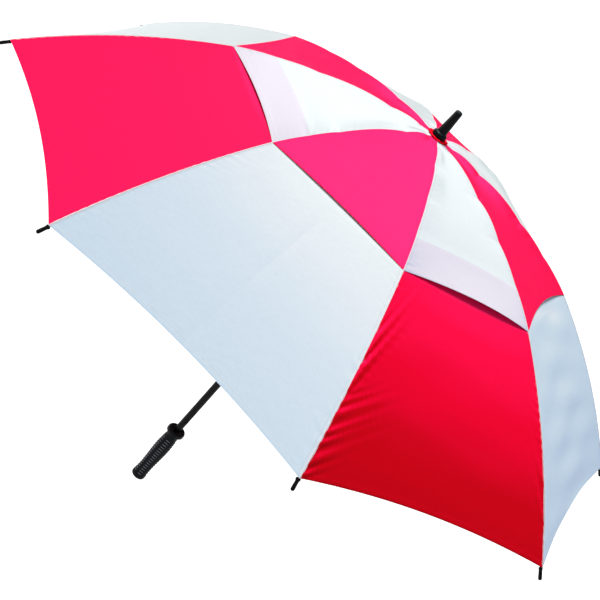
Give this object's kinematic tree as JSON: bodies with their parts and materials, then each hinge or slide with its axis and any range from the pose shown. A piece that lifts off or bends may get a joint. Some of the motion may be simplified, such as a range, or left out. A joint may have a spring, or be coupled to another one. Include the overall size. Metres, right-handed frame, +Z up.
{
  "type": "golf umbrella",
  "caption": "Open golf umbrella with a straight moulded grip, a slim shaft and a vented double canopy of alternating red and white panels, which folds down along the shaft.",
  "frame": {"origin": "centre of the handle's bottom end, on the shaft's axis", "axes": "+Z up the shaft towards the ferrule, +X along the first rib; the catches face 22.5 degrees from +X towards +Y"},
  "size_m": [1.3878, 1.3878, 0.979],
  "materials": {
    "black_steel": "satin",
    "black_plastic": "satin",
    "grip_rubber": "matte",
    "fibreglass": "gloss",
    "steel_wire": "satin",
    "spring_steel": "satin",
    "cloth_red": "satin",
    "cloth_white": "satin"
  },
  "bodies": {
    "shaft": {"shaft_tube": "black_steel", "handle_grip": "grip_rubber", "handle_collar": "black_plastic", "crown_notch": "black_plastic", "crown_wire": "steel_wire", "ferrule": "black_plastic", "rosette": "cloth_red", "upper_red": "cloth_red", "upper_white": "cloth_white", "lower_red": "cloth_red", "lower_white": "cloth_white"},
    "runner": {"runner": "black_plastic", "runner_wire": "steel_wire"},
    "top_catch": {"top_catch": "spring_steel"},
    "bottom_catch": {"bottom_catch": "spring_steel"},
    "rib_1": {"rib_inner_1": "fibreglass", "rib_clip_1": "black_steel"},
    "outer_1": {"rib_outer_1": "fibreglass", "rib_tip_1": "black_plastic"},
    "stretcher_1": {"stretcher_1": "black_steel"},
    "rib_2": {"rib_inner_2": "fibreglass", "rib_clip_2": "black_steel"},
    "outer_2": {"rib_outer_2": "fibreglass", "rib_tip_2": "black_plastic"},
    "stretcher_2": {"stretcher_2": "black_steel"},
    "rib_3": {"rib_inner_3": "fibreglass", "rib_clip_3": "black_steel"},
    "outer_3": {"rib_outer_3": "fibreglass", "rib_tip_3": "black_plastic"},
    "stretcher_3": {"stretcher_3": "black_steel"},
    "rib_4": {"rib_inner_4": "fibreglass", "rib_clip_4": "black_steel"},
    "outer_4": {"rib_outer_4": "fibreglass", "rib_tip_4": "black_plastic"},
    "stretcher_4": {"stretcher_4": "black_steel"},
    "rib_5": {"rib_inner_5": "fibreglass", "rib_clip_5": "black_steel"},
    "outer_5": {"rib_outer_5": "fibreglass", "rib_tip_5": "black_plastic"},
    "stretcher_5": {"stretcher_5": "black_steel"},
    "rib_6": {"rib_inner_6": "fibreglass", "rib_clip_6": "black_steel"},
    "outer_6": {"rib_outer_6": "fibreglass", "rib_tip_6": "black_plastic"},
    "stretcher_6": {"stretcher_6": "black_steel"},
    "rib_7": {"rib_inner_7": "fibreglass", "rib_clip_7": "black_steel"},
    "outer_7": {"rib_outer_7": "fibreglass", "rib_tip_7": "black_plastic"},
    "stretcher_7": {"stretcher_7": "black_steel"},
    "rib_8": {"rib_inner_8": "fibreglass", "rib_clip_8": "black_steel"},
    "outer_8": {"rib_outer_8": "fibreglass", "rib_tip_8": "black_plastic"},
    "stretcher_8": {"stretcher_8": "black_steel"}
  },
  "joints": [
    {"name": "canopy_fold", "type": "hinge", "parent": "shaft", "child": "rib_1", "pos_m": [0.011, 0, 0.915], "axis": [0, 1, 0], "range_deg": [0, 72.5], "deforming": ["upper_red", "upper_white", "lower_red", "lower_white"]},
    {"name": "rib_1_flex", "type": "hinge", "parent": "rib_1", "child": "outer_1", "pos_m": [0.37683, 0, 0.82243], "axis": [0, 1, 0], "range_deg": [-18.6, 0]},
    {"name": "stretcher_1_pivot", "type": "hinge", "parent": "rib_1", "child": "stretcher_1", "pos_m": [0.34658, 0, 0.82825], "axis": [0, 1, 0], "range_deg": [-145, 0]},
    {"name": "rib_2_fold", "type": "hinge", "parent": "shaft", "child": "rib_2", "pos_m": [0.00778, 0.00778, 0.915], "axis": [-0.7071, 0.7071, 0], "range_deg": [0, 72.5]},
    {"name": "rib_2_flex", "type": "hinge", "parent": "rib_2", "child": "outer_2", "pos_m": [0.26646, 0.26646, 0.82243], "axis": [-0.7071, 0.7071, 0], "range_deg": [-18.6, 0]},
    {"name": "stretcher_2_pivot", "type": "hinge", "parent": "rib_2", "child": "stretcher_2", "pos_m": [0.24507, 0.24507, 0.82825], "axis": [-0.7071, 0.7071, 0], "range_deg": [-145, 0]},
    {"name": "rib_3_fold", "type": "hinge", "parent": "shaft", "child": "rib_3", "pos_m": [0, 0.011, 0.915], "axis": [-1, 0, 0], "range_deg": [0, 72.5]},
    {"name": "rib_3_flex", "type": "hinge", "parent": "rib_3", "child": "outer_3", "pos_m": [0, 0.37683, 0.82243], "axis": [-1, 0, 0], "range_deg": [-18.6, 0]},
    {"name": "stretcher_3_pivot", "type": "hinge", "parent": "rib_3", "child": "stretcher_3", "pos_m": [0, 0.34658, 0.82825], "axis": [-1, 0, 0], "range_deg": [-145, 0]},
    {"name": "rib_4_fold", "type": "hinge", "parent": "shaft", "child": "rib_4", "pos_m": [-0.00778, 0.00778, 0.915], "axis": [-0.7071, -0.7071, 0], "range_deg": [0, 72.5]},
    {"name": "rib_4_flex", "type": "hinge", "parent": "rib_4", "child": "outer_4", "pos_m": [-0.26646, 0.26646, 0.82243], "axis": [-0.7071, -0.7071, 0], "range_deg": [-18.6, 0]},
    {"name": "stretcher_4_pivot", "type": "hinge", "parent": "rib_4", "child": "stretcher_4", "pos_m": [-0.24507, 0.24507, 0.82825], "axis": [-0.7071, -0.7071, 0], "range_deg": [-145, 0]},
    {"name": "rib_5_fold", "type": "hinge", "parent": "shaft", "child": "rib_5", "pos_m": [-0.011, 0, 0.915], "axis": [0, -1, 0], "range_deg": [0, 72.5]},
    {"name": "rib_5_flex", "type": "hinge", "parent": "rib_5", "child": "outer_5", "pos_m": [-0.37683, 0, 0.82243], "axis": [0, -1, 0], "range_deg": [-18.6, 0]},
    {"name": "stretcher_5_pivot", "type": "hinge", "parent": "rib_5", "child": "stretcher_5", "pos_m": [-0.34658, 0, 0.82825], "axis": [0, -1, 0], "range_deg": [-145, 0]},
    {"name": "rib_6_fold", "type": "hinge", "parent": "shaft", "child": "rib_6", "pos_m": [-0.00778, -0.00778, 0.915], "axis": [0.7071, -0.7071, 0], "range_deg": [0, 72.5]},
    {"name": "rib_6_flex", "type": "hinge", "parent": "rib_6", "child": "outer_6", "pos_m": [-0.26646, -0.26646, 0.82243], "axis": [0.7071, -0.7071, 0], "range_deg": [-18.6, 0]},
    {"name": "stretcher_6_pivot", "type": "hinge", "parent": "rib_6", "child": "stretcher_6", "pos_m": [-0.24507, -0.24507, 0.82825], "axis": [0.7071, -0.7071, 0], "range_deg": [-145, 0]},
    {"name": "rib_7_fold", "type": "hinge", "parent": "shaft", "child": "rib_7", "pos_m": [0, -0.011, 0.915], "axis": [1, 0, 0], "range_deg": [0, 72.5]},
    {"name": "rib_7_flex", "type": "hinge", "parent": "rib_7", "child": "outer_7", "pos_m": [0, -0.37683, 0.82243], "axis": [1, 0, 0], "range_deg": [-18.6, 0]},
    {"name": "stretcher_7_pivot", "type": "hinge", "parent": "rib_7", "child": "stretcher_7", "pos_m": [0, -0.34658, 0.82825], "axis": [1, 0, 0], "range_deg": [-145, 0]},
    {"name": "rib_8_fold", "type": "hinge", "parent": "shaft", "child": "rib_8", "pos_m": [0.00778, -0.00778, 0.915], "axis": [0.7071, 0.7071, 0], "range_deg": [0, 72.5]},
    {"name": "rib_8_flex", "type": "hinge", "parent": "rib_8", "child": "outer_8", "pos_m": [0.26646, -0.26646, 0.82243], "axis": [0.7071, 0.7071, 0], "range_deg": [-18.6, 0]},
    {"name": "stretcher_8_pivot", "type": "hinge", "parent": "rib_8", "child": "stretcher_8", "pos_m": [0.24507, -0.24507, 0.82825], "axis": [0.7071, 0.7071, 0], "range_deg": [-145, 0]},
    {"name": "runner_pivot", "type": "hinge", "parent": "stretcher_1", "child": "runner", "pos_m": [0.011, 0, 0.7415], "axis": [0, 1, 0], "range_deg": [0, 72.5]},
    {"name": "top_catch_press", "type": "hinge", "parent": "shaft", "child": "top_catch", "pos_m": [0.0036, 0.00149, 0.6413], "axis": [0.3827, -0.9239, 0], "range_deg": [0, 5], "stiffness_Nm_per_rad": 0.6},
    {"name": "bottom_catch_press", "type": "hinge", "parent": "shaft", "child": "bottom_catch", "pos_m": [0.0036, 0.00149, 0.192], "axis": [-0.3827, 0.9239, 0], "range_deg": [0, 5], "stiffness_Nm_per_rad": 0.6}
  ],
  "couplings": [
    {"joint": "rib_1_flex", "follows": "canopy_fold", "ratio": -0.25655},
    {"joint": "stretcher_1_pivot", "follows": "canopy_fold", "ratio": -2},
    {"joint": "rib_2_fold", "follows": "canopy_fold", "ratio": 1},
    {"joint": "rib_2_flex", "follows": "canopy_fold", "ratio": -0.25655},
    {"joint": "stretcher_2_pivot", "follows": "canopy_fold", "ratio": -2},
    {"joint": "rib_3_fold", "follows": "canopy_fold", "ratio": 1},
    {"joint": "rib_3_flex", "follows": "canopy_fold", "ratio": -0.25655},
    {"joint": "stretcher_3_pivot", "follows": "canopy_fold", "ratio": -2},
    {"joint": "rib_4_fold", "follows": "canopy_fold", "ratio": 1},
    {"joint": "rib_4_flex", "follows": "canopy_fold", "ratio": -0.25655},
    {"joint": "stretcher_4_pivot", "follows": "canopy_fold", "ratio": -2},
    {"joint": "rib_5_fold", "follows": "canopy_fold", "ratio": 1},
    {"joint": "rib_5_flex", "follows": "canopy_fold", "ratio": -0.25655},
    {"joint": "stretcher_5_pivot", "follows": "canopy_fold", "ratio": -2},
    {"joint": "rib_6_fold", "follows": "canopy_fold", "ratio": 1},
    {"joint": "rib_6_flex", "follows": "canopy_fold", "ratio": -0.25655},
    {"joint": "stretcher_6_pivot", "follows": "canopy_fold", "ratio": -2},
    {"joint": "rib_7_fold", "follows": "canopy_fold", "ratio": 1},
    {"joint": "rib_7_flex", "follows": "canopy_fold", "ratio": -0.25655},
    {"joint": "stretcher_7_pivot", "follows": "canopy_fold", "ratio": -2},
    {"joint": "rib_8_fold", "follows": "canopy_fold", "ratio": 1},
    {"joint": "rib_8_flex", "follows": "canopy_fold", "ratio": -0.25655},
    {"joint": "stretcher_8_pivot", "follows": "canopy_fold", "ratio": -2},
    {"joint": "runner_pivot", "follows": "canopy_fold", "ratio": 1}
  ]
}
